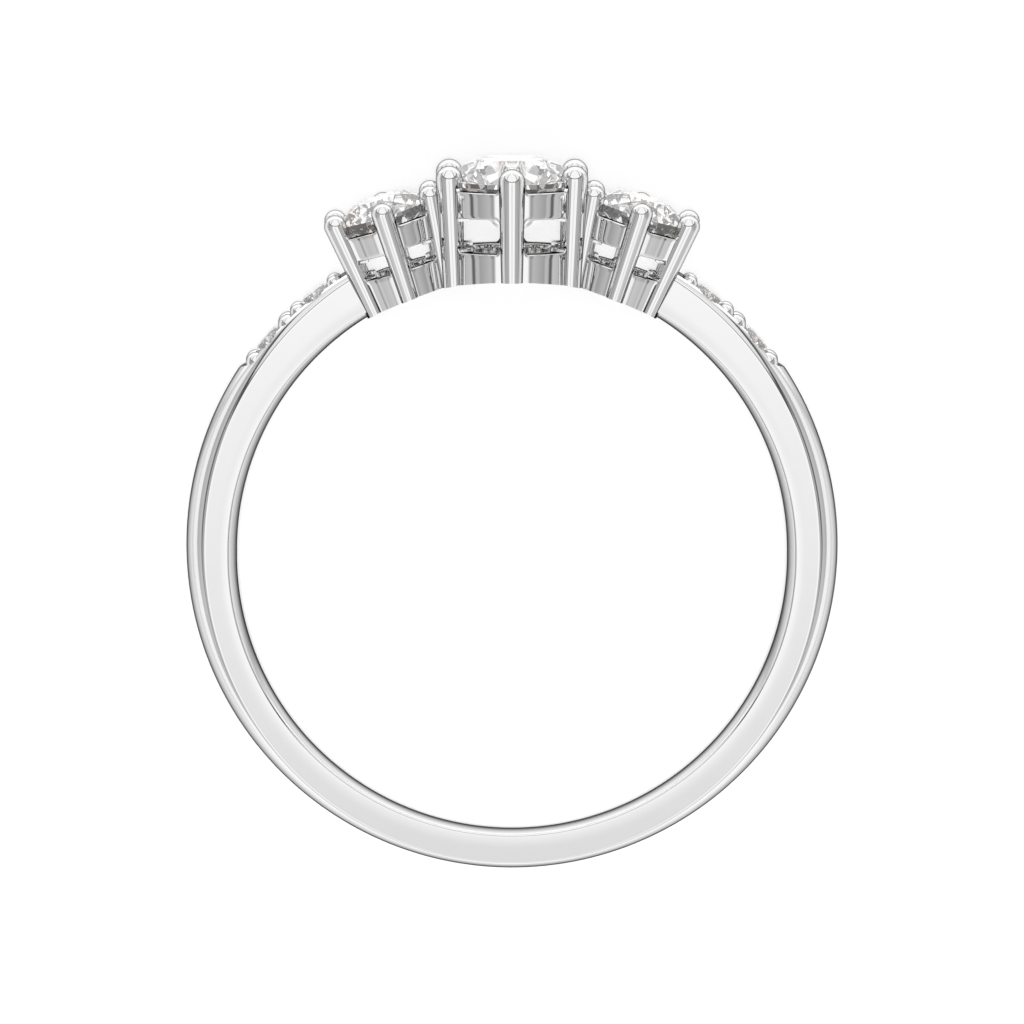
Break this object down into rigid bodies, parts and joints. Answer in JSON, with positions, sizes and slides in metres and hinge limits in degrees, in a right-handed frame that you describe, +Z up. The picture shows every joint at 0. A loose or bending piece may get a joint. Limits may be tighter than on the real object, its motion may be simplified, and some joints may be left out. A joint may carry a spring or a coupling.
{
  "type": "three stone ring",
  "caption": "Finger ring of polished white metal with a large round stone between smaller ones, all in prong baskets, and small stones set in the shoulders; it lies on its side.",
  "frame": {"origin": "on the surface that the ring rests on, under the middle of its box as it lies on its side", "axes": "+Y from the bottom of the band toward the stones, +X toward the right side stone, +Z up, which is close to the way that the finger goes through"},
  "size_m": [0.0204, 0.0224, 0.0054],
  "materials": {
    "white_gold": "polished",
    "clear_stone": "polished"
  },
  "bodies": {
    "root": {"setting": "white_gold", "centre_stone": "clear_stone", "left_stone": "clear_stone", "right_stone": "clear_stone", "left_accent_1": "clear_stone", "left_accent_2": "clear_stone", "right_accent_1": "clear_stone", "right_accent_2": "clear_stone"}
  },
  "joints": []
}
